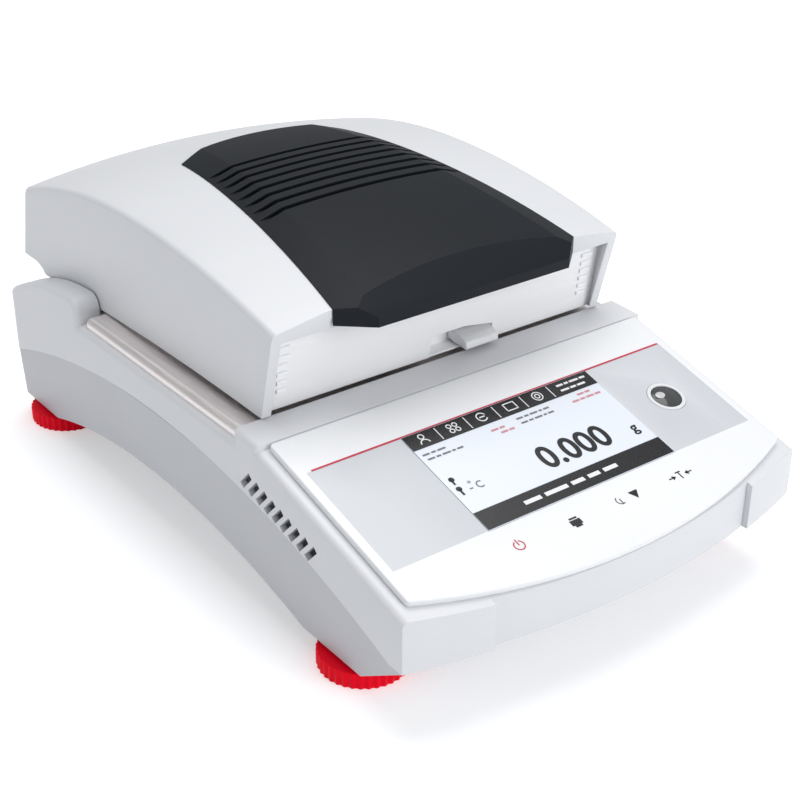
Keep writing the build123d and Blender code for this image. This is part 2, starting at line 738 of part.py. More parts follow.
def cover_form(rise):
    """The cover's outer form, raised by rise above the lid: crowned, with sloping sides and a bevelled nose."""
    form = crowned_solid(rise, 85.0) & upright(cover_plan(0.0))
    roof = form.faces().sort_by(Axis.Z)[-2:].sort_by(Axis.Y)[0]
    sides = roof.edges().filter_by(lambda e: e.length > 60 and abs(e.center().X) > 40)
    form = chamfer(sides, cover_facet, cover_facet_drop, reference=roof)
    nose_z = cover_nose_top_z - cover_proud + rise
    slope_end = (cover_nose_y + 60, nose_z + 60 * cover_nose_slope)
    bevel = Polyline((cover_nose_y, nose_z), slope_end, (cover_nose_y, nose_z + 60), close=True)
    return form - side_prism(bevel, -100, 100)


def vent_cover():
    """Ribbed black cover, let into the lid's top, with a nose that hangs over the front."""
    cover = cover_form(cover_proud)
    floor = cover_form(cover_proud - rib_depth) + crowned_solid(0.6, 88.0)
    for i in range(rib_count):
        y = rib_first_y - i * rib_pitch
        cover -= box_between((-90, y - rib_groove / 2, 60), (90, y + rib_groove / 2, 200)) - floor
    # the skirt lies on the lid, and the nose is a hollow visor in front of it
    nose_room = box_between((-90, cover_nose_y - 5, lip_z), (90, lid_front_top_y - seam, 200))
    skirt = cover - crowned_solid(0.03, 88.0) - box_between((-90, cover_nose_y - 5, 60), (90, lid_front_top_y - seam, 200))
    nose = cover & nose_room
    nose -= cover_form(cover_proud - cover_lip) & upright(cover_plan(-cover_lip))
    # the deep middle fills the lid's window
    middle = cover & upright(cover_plan(-cover_seat - 0.2))
    middle -= crowned_solid(cover_proud - cover_thick, 88.0)
    middle -= box_between((-90, cover_nose_y - 5, 60), (90, lid_front_top_y + 6, 200))
    return skirt + nose + middle


def front_panel_foot():
    """The (y, z) of the lower front edge of the lid's front panel."""
    return lid_front_bottom_y + lid_wall + seam, lid_front_bottom_z + seam


def pocket_points(bottom):
    return [(handle_left, bottom), (handle_left, handle_top), (grip_left + 2, handle_top),
            (handle_right - 1, handle_top - 3.0), (handle_right - 1, bottom)]


def front_panel():
    """Panel under the visor, with short louvres at both ends and a grip pocket at its lower edge."""
    y0, z0 = front_panel_foot()
    top = lid_front_top_z - 4.0
    lean = front_panel_lean
    points = [(y0, z0), (y0 - lean, top), (y0 - lean + front_panel_thick, top), (y0 + front_panel_thick, z0)]
    half = lid_half_width - lid_wall - 0.1
    panel = side_prism(Polyline(*points, close=True), -half, half)
    for side in (-1, 1):
        for i in range(louvre_count):
            x = side * louvre_x
            z = louvre_top_z - i * louvre_pitch
            y = y0 - lean * (z - z0) / (top - z0)
            reach = (louvre_length - louvre_taper * i) / 2
            panel += box_between((x - reach, y - 0.9, z - 0.9), (x + reach, y + 1.0, z + 0.9))
    panel -= front_view(pocket_points(z0 - 2), y0 + 10, 20)
    back = y0 + front_panel_thick + handle_depth
    low, high = z0 - 2, handle_top + handle_wall
    left, right = handle_left - handle_wall, handle_right - 1 + handle_wall
    pocket = front_view([(left, low), (left, high), (right, high), (right, low)], back, handle_depth + 2.0)
    pocket &= box_between((-60, -60, z0), (60, 0, 120))
    return panel + (pocket - front_view(pocket_points(z0 + handle_floor), back - handle_wall, 20))


def lid_handle():
    """Grip tab in the pocket at the front edge."""
    y0, z0 = front_panel_foot()
    z0 += 0.7
    y_back = y0 + front_panel_thick + handle_depth - handle_wall - running_gap
    y_tip = y0 - grip_reach
    lines = Polyline((y_back, z0 + 1.5), (y_tip + 1, z0), (y_tip, z0 + 1.2), (y_tip + 0.6, z0 + 4.0),
                     (y0 + 1, z0 + 6.4), (y_back, z0 + 6.4), close=True)
    return side_prism(lines, grip_left, handle_right - 1 - running_gap)


def heater_parts():
    half = lid_half_width - lid_wall - 0.05
    liner = box_between((-half, liner_front_y, liner_z), (half, liner_rear_y, liner_z + liner_thick))
    liner -= rod(glass_radius - 3, (0, chamber_y, 80), (0, 0, 1), 60)
    for x, y in lid_screws:
        liner -= rod(screw_radius + 0.2, (x, y, 80), (0, 0, 1), 60)
    save(liner, "lid_liner")
    glass_bottom = liner_z + liner_thick + 0.02
    save(rod(glass_radius, (0, chamber_y, glass_bottom), (0, 0, 1), glass_thick), "protective_glass")
    z0 = glass_bottom
    z1 = z0 + reflector_height
    lamp_holders = [(side * 12, chamber_y + lamp_radius) for side in (-1, 1)]
    reflector = reflector_bowl(z0, z1)
    holders = Part()
    for x, y in lamp_holders:
        reflector -= box_between((x - 5.2, y - 8, z0 + 4), (x + 5.2, y + 4, z1 + 10))
        holders += box_between((x - 5, y - 7.5, z0 + 5), (x + 5, y + 3, z1 + 5))
    save(reflector, "reflector")
    path = Pos(0, chamber_y, z0 + 9.0) * CenterArc((0, 0, 0), lamp_radius, 118, 304)
    lamp = sweep(Plane(origin=path @ 0, z_dir=path % 0) * Circle(lamp_tube), path=path)
    save(lamp - holders, "halogen_lamp")
    save(holders, "lamp_holders")
    sensor = rod(2.4, (0, chamber_y, z1 - 7), (0, 0, 1), 14) + rod(5.8, (0, chamber_y, z1 + 0.02), (0, 0, 1), 3)
    save(sensor, "temperature_sensor")
    clips = Part()
    clip_top = z0 + glass_thick + 0.8
    for i in range(3):
        clip = box_between((glass_radius - 5, -5, z0 + glass_thick + 0.02), (glass_radius + 0.8, 5, clip_top))
        clip += box_between((glass_radius + 0.3, -5, z0), (glass_radius + 0.8, 5, clip_top))
        clips += Pos(0, chamber_y, 0) * Rotation(0, 0, 30 + 120 * i) * clip
    save(clips, "glass_clips")


def reflector_bowl(z0, z1):
    """Spun reflector over the lamp, open round the glass and round the sensor."""
    rim = glass_radius + 3.0
    outer = [(rim, z0), (rim + 9, z0), (rim + 9, z0 + 1), (rim + 1, z0 + 1), (rim - 6, z1 - 3), (24, z1), (5, z1)]
    inner = [(5, z1 - 1), (23.5, z1 - 1), (rim - 6.8, z1 - 4), (rim, z0 + 0.5)]
    outline = make_face(Polyline(*outer, *inner, close=True))
    ring = Plane(origin=(0, chamber_y, 0), x_dir=(1, 0, 0), z_dir=(0, -1, 0)) * outline
    return revolve(ring, Axis((0, chamber_y, 0), (0, 0, 1)), 360)


def screws():
    heads = Part()
    for x, y in base_screws:
        z = screw_floor(y) + counterbore
        heads += rod(screw_head, (x, y, z - 1.85), (0, 0, 1), 1.83)
        heads += rod(screw_radius - 0.02, (x, y, z - 0.5), (0, 0, 1), 16.0)
    save(heads, "housing_screws")
    lid = Part()
    for x, y in lid_screws:
        lid += rod(screw_head, (x, y, liner_z - 1.8), (0, 0, 1), 1.78)
        lid += rod(screw_radius - 0.02, (x, y, liner_z - 0.5), (0, 0, 1), 10)
    save(lid, "lid_screws")


def screw_floor(y):
    """Height of the arched lower edge at y."""
    y0, y2 = rear_y - 38, foot_front_y + 22
    a, b, c = (y0, rear_bottom_z), (40.0, arch_mid_z), (y2, front_foot_z)
    centre = circle_centre(a, b, c)
    radius = math.dist(centre, a)
    return centre[1] + math.sqrt(radius ** 2 - (y - centre[0]) ** 2)


def circle_centre(a, b, c):
    d = 2 * (a[0] * (b[1] - c[1]) + b[0] * (c[1] - a[1]) + c[0] * (a[1] - b[1]))
    sa, sb, sc = (p[0] ** 2 + p[1] ** 2 for p in (a, b, c))
    return ((sa * (b[1] - c[1]) + sb * (c[1] - a[1]) + sc * (a[1] - b[1])) / d,
            (sa * (c[0] - b[0]) + sb * (a[0] - c[0]) + sc * (b[0] - a[0])) / d)


def feet():
    names = ["front_left", "front_right", "rear_left", "rear_right"]
    steps = [(foot_radius if k % 2 == 0 else foot_radius - foot_groove, 360 / (2 * foot_teeth) * k)
             for k in range(2 * foot_teeth)]
    outline = [(r * math.cos(math.radians(a)), r * math.sin(math.radians(a))) for r, a in steps]
    blank = extrude(make_face(Polyline(*outline, close=True)), amount=foot_height)
    blank -= rod(stud_radius + running_gap, (0, 0, -1), (0, 0, 1), 20)
    blank -= rod(7.4, (0, 0, -1), (0, 0, 1), 3.2)
    stud = rod(stud_radius, (0, 0, 0.8), (0, 0, 1), stud_length)
    stud += rod(7.0, (0, 0, 0.8), (0, 0, 1), 1.3) + rod(6.5, (0, 0, foot_height + 0.05), (0, 0, 1), 0.9)
    inserts = Part()
    for name, (x, y) in zip(names, foot_places()):
        save(Pos(x, y, 0) * blank, f"foot_wheel_{name}")
        save(Pos(x, y, 0) * stud, f"foot_stud_{name}")
        inserts += tube(insert_radius - 0.05, stud_radius + running_gap, insert_z, insert_z + insert_height, (x, y))
    save(inserts, "foot_inserts")


def main():
    save(upper_housing(), "upper_housing")
    save(lower_housing(), "lower_housing")
    panel_parts()
    weighing_parts()
    base_electronics()
    hinge_parts()
    save(lid_shell(), "lid_shell")
    save(vent_cover(), "vent_cover")
    save(front_panel(), "lid_front_panel")
    save(lid_handle(), "lid_handle")
    heater_parts()
    screws()
    feet()


main()
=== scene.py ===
import bpy
import math
from mathutils import Matrix, Vector


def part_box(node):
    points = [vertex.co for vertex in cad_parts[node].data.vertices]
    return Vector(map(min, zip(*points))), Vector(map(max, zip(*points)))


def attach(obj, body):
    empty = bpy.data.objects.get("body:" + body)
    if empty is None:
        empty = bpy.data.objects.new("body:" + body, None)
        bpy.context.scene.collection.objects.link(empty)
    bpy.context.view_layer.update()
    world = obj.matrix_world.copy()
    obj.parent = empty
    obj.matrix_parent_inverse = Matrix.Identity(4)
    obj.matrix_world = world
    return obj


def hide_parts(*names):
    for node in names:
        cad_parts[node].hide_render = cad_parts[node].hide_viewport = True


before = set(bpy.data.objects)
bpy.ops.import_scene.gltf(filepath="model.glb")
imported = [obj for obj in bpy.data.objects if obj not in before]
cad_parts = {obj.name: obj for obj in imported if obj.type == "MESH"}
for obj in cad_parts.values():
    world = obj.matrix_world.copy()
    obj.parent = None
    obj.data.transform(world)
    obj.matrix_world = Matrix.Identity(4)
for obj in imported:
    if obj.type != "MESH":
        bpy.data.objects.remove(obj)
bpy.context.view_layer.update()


# helpers for objects
def deselectAll():
    if bpy.context.object and bpy.context.object.mode != "OBJECT":
        bpy.ops.object.mode_set(mode="OBJECT")
    bpy.ops.object.select_all(action="DESELECT")


def pick(obj):
    deselectAll()
    obj.select_set(True)
    bpy.context.view_layer.objects.active = obj


def applyModifiers(obj):
    pick(obj)
    for modifier in list(obj.modifiers):
        bpy.ops.object.modifier_apply(modifier=modifier.name)


def applyPlace(obj):
    pick(obj)
    bpy.ops.object.transform_apply(location=True, rotation=True, scale=True)


def joinPieces(pieces, name):
    deselectAll()
    for piece in pieces:
        piece.select_set(True)
    bpy.context.view_layer.objects.active = pieces[0]
    bpy.ops.object.join()
    joined = bpy.context.object
    joined.name = name
    joined.data.name = name
    return joined


def setMaterial(obj, material):
    obj.data.materials.clear()
    obj.data.materials.append(material)


def finishPiece(obj, body, material, smoothAngle=30):
    setMaterial(obj, material)
    pick(obj)
    bpy.ops.object.shade_smooth_by_angle(angle=math.radians(smoothAngle))
    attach(obj, body)
    return obj


# distance at which points merge, and angle in degrees under which faces count as one
meshRepair = {"merge": 0.000002, "flat": 0.6}


# a merged copy of a CAD node with its edges eased
def easedCopy(node, name, body, material, width, segments=3, limit=28, smoothAngle=30):
    source = bpy.data.objects[node]
    obj = bpy.data.objects.new(name, source.data.copy())
    bpy.context.scene.collection.objects.link(obj)
    pick(obj)
    bpy.ops.object.mode_set(mode="EDIT")
    bpy.ops.mesh.select_all(action="SELECT")
    bpy.ops.mesh.remove_doubles(threshold=meshRepair["merge"])
    bpy.ops.mesh.dissolve_limited(angle_limit=math.radians(meshRepair["flat"]))
    bpy.ops.object.mode_set(mode="OBJECT")
    if obj.data.has_custom_normals:
        bpy.ops.mesh.customdata_custom_splitnormals_clear()
    bevel = obj.modifiers.new("easedEdges", "BEVEL")
    bevel.width = width
    bevel.segments = segments
    bevel.limit_method = "ANGLE"
    bevel.angle_limit = math.radians(limit)
    bevel.harden_normals = False
    applyModifiers(obj)
    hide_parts(node)
    return finishPiece(obj, body, material, smoothAngle)


# camera
viewpoint = {
    "place": (-0.37034, -0.49946, 0.37280),
    "azimuth": -37.543,
    "elevation": 27.837,
    "roll": 0.398,
    "lens": 68.1,
    "sensor": 36,
    "near": 0.01,
}
turn = (Matrix.Rotation(math.radians(viewpoint["azimuth"]), 4, "Z")
        @ Matrix.Rotation(math.radians(90 - viewpoint["elevation"]), 4, "X")
        @ Matrix.Rotation(math.radians(viewpoint["roll"]), 4, "Z"))
bpy.ops.object.camera_add(location=viewpoint["place"], rotation=turn.to_euler())
camera = bpy.context.object
camera.data.lens = viewpoint["lens"]
camera.data.sensor_width = viewpoint["sensor"]
camera.data.clip_start = viewpoint["near"]
bpy.context.scene.camera = camera
print("camera ready")

# studio
studio = {
    "floorSize": 6.0,
    "floorColour": (0.86, 0.865, 0.88),
    "floorGlow": 0.36,
    "worldColour": (0.96, 0.98, 1.0),
    "worldStrength": 0.43,
    "lamps": [
        {"name": "overheadLamp", "place": (0.25, 0.25, 1.7), "aim": (0, 0, 0.08), "size": 1.6, "power": 19},
        {"name": "frontLamp", "place": (0.45, -1.7, 0.7), "aim": (0, 0, 0.08), "size": 1.2, "power": 15},
        {"name": "leftLamp", "place": (-1.7, -0.25, 0.8), "aim": (0, 0, 0.08), "size": 1.1, "power": 3.5},
    ],
}
scene = bpy.context.scene
scene.view_settings.view_transform = "Standard"


# a floor that the camera sees a little brighter than its diffuse light
def cameraWhite(material, floorColour):
    nodes = material.node_tree.nodes
    links = material.node_tree.links
    nodes.clear()
    out = nodes.new("ShaderNodeOutputMaterial")
    mix = nodes.new("ShaderNodeMixShader")
    paths = nodes.new("ShaderNodeLightPath")
    seen = nodes.new("ShaderNodeMath")
    seen.operation = "MAXIMUM"
    seenToo = nodes.new("ShaderNodeMath")
    seenToo.operation = "MAXIMUM"
    links.new(paths.outputs["Is Camera Ray"], seen.inputs[0])
    links.new(paths.outputs["Is Glossy Ray"], seen.inputs[1])
    links.new(seen.outputs[0], seenToo.inputs[0])
    links.new(paths.outputs["Is Transmission Ray"], seenToo.inputs[1])
    base = nodes.new("ShaderNodeBsdfDiffuse")
    base.inputs["Color"].default_value = (*floorColour, 1)
    glow = nodes.new("ShaderNodeEmission")
    glow.inputs["Color"].default_value = (1, 1, 1, 1)
    glow.inputs["Strength"].default_value = studio["floorGlow"]
    add = nodes.new("ShaderNodeAddShader")
    links.new(base.outputs[0], add.inputs[0])
    links.new(glow.outputs[0], add.inputs[1])
    links.new(seenToo.outputs[0], mix.inputs[0])
    links.new(base.outputs[0], mix.inputs[1])
    links.new(add.outputs[0], mix.inputs[2])
    links.new(mix.outputs[0], out.inputs[0])


deselectAll()
bpy.ops.mesh.primitive_grid_add(x_subdivisions=2, y_subdivisions=2, size=studio["floorSize"])
floor = bpy.context.object
floor.name = "studioFloor"
floorMaterial = bpy.data.materials.new("paleFloor")
floorMaterial.use_nodes = True
cameraWhite(floorMaterial, studio["floorColour"])
setMaterial(floor, floorMaterial)

world = bpy.data.worlds.new("softWorld")
scene.world = world
world.use_nodes = True
worldNodes = world.node_tree.nodes
worldLinks = world.node_tree.links
worldNodes.clear()
worldOut = worldNodes.new("ShaderNodeOutputWorld")
worldMix = worldNodes.new("ShaderNodeMixShader")
softSky = worldNodes.new("ShaderNodeBackground")
softSky.inputs["Color"].default_value = (*studio["worldColour"], 1)
softSky.inputs["Strength"].default_value = studio["worldStrength"]
whiteSky = worldNodes.new("ShaderNodeBackground")
whiteSky.inputs["Color"].default_value = (1, 1, 1, 1)
whiteSky.inputs["Strength"].default_value = 1.0
worldPath = worldNodes.new("ShaderNodeLightPath")
worldLinks.new(worldPath.outputs["Is Camera Ray"], worldMix.inputs[0])
worldLinks.new(softSky.outputs[0], worldMix.inputs[1])
worldLinks.new(whiteSky.outputs[0], worldMix.inputs[2])
worldLinks.new(worldMix.outputs[0], worldOut.inputs[0])

for lamp in studio["lamps"]:
    aim = (Vector(lamp["aim"]) - Vector(lamp["place"])).to_track_quat("-Z", "Y")
    bpy.ops.object.light_add(type="AREA", location=lamp["place"], rotation=aim.to_euler())
    light = bpy.context.object
    light.name = lamp["name"]
    light.data.shape = "DISK"
    light.data.size = lamp["size"]
    light.data.energy = lamp["power"]
print("studio ready")


# finishes
def newFinish(name):
    material = bpy.data.materials.new(name)
    material.use_nodes = True
    shader = material.node_tree.nodes["Principled BSDF"]
    return material, material.node_tree.nodes, material.node_tree.links, shader


def objectNoise(nodes, links, size, detail=3, stretch=(1, 1, 1)):
    place = nodes.new("ShaderNodeTexCoord")
    mapping = nodes.new("ShaderNodeMapping")
    mapping.inputs["Scale"].default_value = stretch
    noise = nodes.new("ShaderNodeTexNoise")
    noise.inputs["Scale"].default_value = 1 / size
    noise.inputs["Detail"].default_value = detail
    links.new(place.outputs["Object"], mapping.inputs["Vector"])
    links.new(mapping.outputs[0], noise.inputs["Vector"])
    return noise


# the part of its range that most of a noise falls in
noiseRange = (0.3, 0.7)


# noise remapped to a range and sent to a socket
def spread(nodes, links, source, low, high, target):
    remap = nodes.new("ShaderNodeMapRange")
    remap.inputs["From Min"].default_value = noiseRange[0]
    remap.inputs["From Max"].default_value = noiseRange[1]
    remap.inputs["To Min"].default_value = low
    remap.inputs["To Max"].default_value = high
    links.new(source, remap.inputs["Value"])
    links.new(remap.outputs[0], target)


def tone(nodes, links, source, dark, light, target):
    mix = nodes.new("ShaderNodeMix")
    mix.data_type = "RGBA"
    mix.inputs["A"].default_value = (*dark, 1)
    mix.inputs["B"].default_value = (*light, 1)
    links.new(source, mix.inputs["Factor"])
    links.new(mix.outputs["Result"], target)


def grainBump(nodes, links, source, strength, distance, shader):
    bump = nodes.new("ShaderNodeBump")
    bump.inputs["Strength"].default_value = strength
    bump.inputs["Distance"].default_value = distance
    links.new(source, bump.inputs["Height"])
    links.new(bump.outputs[0], shader.inputs["Normal"])


def mouldedFinish(name, colour, rough, grain=0.0006, grainStrength=0.12, shade=0.96, specular=0.5):
    material, nodes, links, shader = newFinish(name)
    cloud = objectNoise(nodes, links, 0.05, 2)
    dark = tuple(c * shade for c in colour)
    tone(nodes, links, cloud.outputs["Fac"], dark, colour, shader.inputs["Base Color"])
    fine = objectNoise(nodes, links, grain, 2)
    spread(nodes, links, fine.outputs["Fac"], rough - 0.05, rough + 0.06, shader.inputs["Roughness"])
    grainBump(nodes, links, fine.outputs["Fac"], grainStrength, 0.0001, shader)
    shader.inputs["Specular IOR Level"].default_value = specular
    return material


def metalFinish(name, colour, rough, stretch=(1, 1, 1), size=0.0008, strength=0.1):
    material, nodes, links, shader = newFinish(name)
    lines = objectNoise(nodes, links, size, 3, stretch)
    dark = tuple(c * 0.85 for c in colour)
    tone(nodes, links, lines.outputs["Fac"], dark, colour, shader.inputs["Base Color"])
    spread(nodes, links, lines.outputs["Fac"], rough - 0.06, rough + 0.1, shader.inputs["Roughness"])
    grainBump(nodes, links, lines.outputs["Fac"], strength, 0.00005, shader)
    shader.inputs["Metallic"].default_value = 1.0
    return material


def clearFinish(name, colour, rough=0.03):
    material, nodes, links, shader = newFinish(name)
    smear = objectNoise(nodes, links, 0.03, 2)
    dark = tuple(c * 0.97 for c in colour)
    tone(nodes, links, smear.outputs["Fac"], dark, colour, shader.inputs["Base Color"])
    spread(nodes, links, smear.outputs["Fac"], rough, rough + 0.03, shader.inputs["Roughness"])
    shader.inputs["Transmission Weight"].default_value = 1.0
    shader.inputs["IOR"].default_value = 1.45
    return material


whiteMoulding = mouldedFinish("whiteMoulding", (0.70, 0.71, 0.735), 0.42)
lidMoulding = mouldedFinish("lidMoulding", (0.71, 0.72, 0.745), 0.42)
# the lid moulding painted lighter for the front panel: painted light standing in for the bounce light under
# the visor
paintedLightFrontMoulding = mouldedFinish("paintedLightFrontMoulding", (0.88, 0.885, 0.90), 0.42)
# the white moulding painted darker for the lower housing: painted shade
paintedShadeLowerMoulding = mouldedFinish("paintedShadeLowerMoulding", (0.56, 0.57, 0.60), 0.46)
gripMoulding = mouldedFinish("gripMoulding", (0.74, 0.75, 0.77), 0.3)
blackMoulding = mouldedFinish("blackMoulding", (0.007, 0.0095, 0.014), 0.46, grain=0.0004, shade=0.8,
                              specular=0.17)
redMoulding = mouldedFinish("redMoulding", (0.95, 0.0005, 0.018), 0.42, shade=0.92, specular=0.1)
plainBlack = mouldedFinish("plainBlack", (0.015, 0.015, 0.017), 0.5, shade=0.8)
ceramicFinish = mouldedFinish("ceramicFinish", (0.72, 0.69, 0.6), 0.6, shade=0.9)
boardFinish = mouldedFinish("boardFinish", (0.01, 0.09, 0.045), 0.4, shade=0.7)
screenFilm = mouldedFinish("screenFilm", (0.76, 0.80, 0.87), 0.22, grainStrength=0.02, shade=0.98)
screenInk = mouldedFinish("screenInk", (0.004, 0.004, 0.006), 0.3, grainStrength=0.02, shade=0.8)
whiteInk = mouldedFinish("whiteInk", (0.8, 0.8, 0.82), 0.4, grainStrength=0.02)
greyInk = mouldedFinish("greyInk", (0.16, 0.17, 0.19), 0.4, grainStrength=0.02)
redInk = mouldedFinish("redInk", (0.55, 0.03, 0.06), 0.4, grainStrength=0.02, shade=0.9)
paleRedInk = mouldedFinish("paleRedInk", (0.62, 0.25, 0.28), 0.4, grainStrength=0.02, shade=0.9)
brushedSteel = metalFinish("brushedSteel", (0.92, 0.87, 0.86), 0.45, stretch=(1, 0.03, 1), strength=0.05)
brightSteel = metalFinish("brightSteel", (0.62, 0.62, 0.63), 0.25)
castAluminium = metalFinish("castAluminium", (0.55, 0.56, 0.57), 0.45)
panSheet = metalFinish("panSheet", (0.75, 0.75, 0.76), 0.28, stretch=(1, 0.2, 1))
brassTurned = metalFinish("brassTurned", (0.62, 0.43, 0.18), 0.3)
heaterGlass = clearFinish("heaterGlass", (0.9, 0.94, 0.95))
lampGlass = clearFinish("lampGlass", (0.96, 0.95, 0.9))
levelLiquid = mouldedFinish("levelLiquid", (0.07, 0.073, 0.075), 0.12, grainStrength=0.02, shade=0.6)
bubbleFinish = mouldedFinish("bubbleFinish", (0.55, 0.56, 0.57), 0.15, grainStrength=0.02)

nodeFinish = {
    "touch_screen": screenFilm,
    "display_module": plainBlack,
    "display_board": boardFinish,
    "level_bezel": gripMoulding,
    "level_vial": levelLiquid,
    "chamber_tray": brushedSteel,
    "chamber_well": brushedSteel,
    "draft_shield": brushedSteel,
    "pan_support": brightSteel,
    "pan_handler": plainBlack,
    "sample_pan": panSheet,
    "load_cell": castAluminium,
    "load_cell_base": castAluminium,
    "main_board": boardFinish,
    "power_supply": boardFinish,
    "mains_inlet": plainBlack,
    "inlet_pins": brightSteel,
    "serial_port": brightSteel,
    "usb_ports": brightSteel,
    "hinge_plates": brightSteel,
    "hinge_pins": brightSteel,
    "housing_screws": brightSteel,
    "foot_inserts": brassTurned,
    "lid_hinge_lugs": castAluminium,
    "lid_liner": brushedSteel,
    "protective_glass": heaterGlass,
    "reflector": brightSteel,
    "halogen_lamp": lampGlass,
    "lamp_holders": ceramicFinish,
    "temperature_sensor": brightSteel,
    "glass_clips": brightSteel,
    "lid_screws": brightSteel,
}
for corner in ("front_left", "front_right", "rear_left", "rear_right"):
    nodeFinish["foot_stud_" + corner] = brightSteel
for node, material in nodeFinish.items():
    setMaterial(bpy.data.objects[node], material)
print("finishes ready")

# housings and lid
# CAD node, name here, body, slot, finish and width of the eased edges
easedNodes = [
    ("upper_housing", "upperHousing", "base", "white_moulding", whiteMoulding, 0.0007),
    # the lower housing takes the white moulding painted darker, as painted shade
    ("lower_housing", "lowerHousing", "base", "white_moulding", paintedShadeLowerMoulding, 0.0008),
    ("lid_shell", "lidShell", "lid", "lid_moulding", lidMoulding, 0.0006),
    # the front panel takes the lid moulding painted lighter, as painted light
    ("lid_front_panel", "lidFrontPanel", "lid", "lid_moulding", paintedLightFrontMoulding, 0.0003),
    ("lid_handle", "lidHandle", "lid", "grip_plastic", gripMoulding, 0.0009),
]
for corner in ("front_left", "front_right", "rear_left", "rear_right"):
    side = "".join(word.capitalize() for word in corner.split("_"))
    wheel = ("foot_wheel_" + corner, "footWheel" + side, "wheel_" + corner, "red_foot", redMoulding, 0.0003)
    easedNodes.append(wheel)
for node, name, body, slotName, material, width in easedNodes:
    easedCopy(node, name, body, material, width)
# the cover keeps the creases of its flat slopes
easedCopy("vent_cover", "ventCover", "lid", blackMoulding, 0.0005, limit=9, smoothAngle=7)
print("housings ready")

# control panel and its print, in millimetres
# the grey fields beside the screen are given by y and by distance from the middle
mm = 0.001
panel = {
    "slope": 0.275,
    "thick": 3.0,
    "filmLift": 0.06,
    "filmThick": 0.08,
    "white": (0.83, 0.84, 0.86),
    "whiteShade": (0.80, 0.81, 0.83),
    "grey": (0.58, 0.60, 0.63),
    "greyRear": -83.4,
    "greyFront": -138.5,
    "greyInner": 49.5,
    "greyOuter": 95.5,
    "letterSize": 1.38,
    "letterSpacing": 1.02,
}
panelTilt = math.atan(panel["slope"])
panelHigh = Vector(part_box("control_panel")[1])
panelRear = Vector((0, panelHigh.y - panel["thick"] * mm * math.sin(panelTilt), panelHigh.z))
panelTurn = Matrix.Rotation(panelTilt, 4, "X")


# u across, v up the slope from the panel's rear edge, lift above its face
def ontoPanel(obj, u, v, lift):
    place = Matrix.Translation(panelRear) @ panelTurn @ Matrix.Translation((u * mm, v * mm, lift * mm))
    obj.matrix_world = place @ obj.matrix_world
    applyPlace(obj)


def flatShape(name, points):
    thick = panel["filmThick"] * mm
    curve = bpy.data.curves.new(name, "CURVE")
    curve.dimensions = "2D"
    curve.fill_mode = "BOTH"
    curve.extrude = thick / 2
    spline = curve.splines.new("POLY")
    spline.points.add(len(points) - 1)
    for point, (x, y) in zip(spline.points, points):
        point.co = (x * mm, y * mm, thick / 2, 1)
    spline.use_cyclic_u = True
    obj = bpy.data.objects.new(name, curve)
    bpy.context.scene.collection.objects.link(obj)
    pick(obj)
    bpy.ops.object.convert(target="MESH")
    return bpy.context.object


def bar(name, u0, u1, v0, v1):
    return flatShape(name, [(u0, v0), (u1, v0), (u1, v1), (u0, v1)])


def arcPoints(u, v, radius, start, end, steps):
    angles = [math.radians(start + (end - start) * i / steps) for i in range(steps + 1)]
    return [(u + radius * math.cos(a), v + radius * math.sin(a)) for a in angles]


def ringShape(name, u, v, radius, width, start=0, end=360, sides=24):
    steps = max(3, int(sides * (end - start) / 360))
    outer = arcPoints(u, v, radius, start, end, steps)
    inner = arcPoints(u, v, radius - width, start, end, steps)
    return flatShape(name, outer + inner[::-1])


def disc(name, u, v, radius, sides=20):
    return flatShape(name, arcPoints(u, v, radius, 0, 360, sides)[:-1])


# a row of bars that stands for small words, up to an end where one is given
def wordRow(name, start, v, lengths, rise, gap, end=math.inf):
    parts = []
    u = start
    for length in lengths:
        if u + length > end:
            break
        parts.append(bar(name, u, u + length, v - rise, v + rise))
        u += length + gap
    return parts


def textShape(name, words, height, u, v, bold, squeeze):
    thick = panel["filmThick"] * mm
    bpy.ops.object.text_add(location=(0, 0, 0))
    obj = bpy.context.object
    obj.data.body = words
    obj.data.size = height * mm * panel["letterSize"]
    obj.data.extrude = thick / 2
    obj.data.offset = bold * mm
    obj.data.space_character = panel["letterSpacing"]
    obj.location = (u * mm, v * mm, thick / 2)
    obj.scale = (squeeze, 1, 1)
    pick(obj)
    bpy.ops.object.convert(target="MESH")
    obj = bpy.context.object
    obj.name = name
    applyPlace(obj)
    return obj


def printGroup(name, parts, material, layers):
    piece = joinPieces(parts, name)
    ontoPanel(piece, 0, 0, panel["filmLift"] * layers)
    return finishPiece(piece, "base", material)


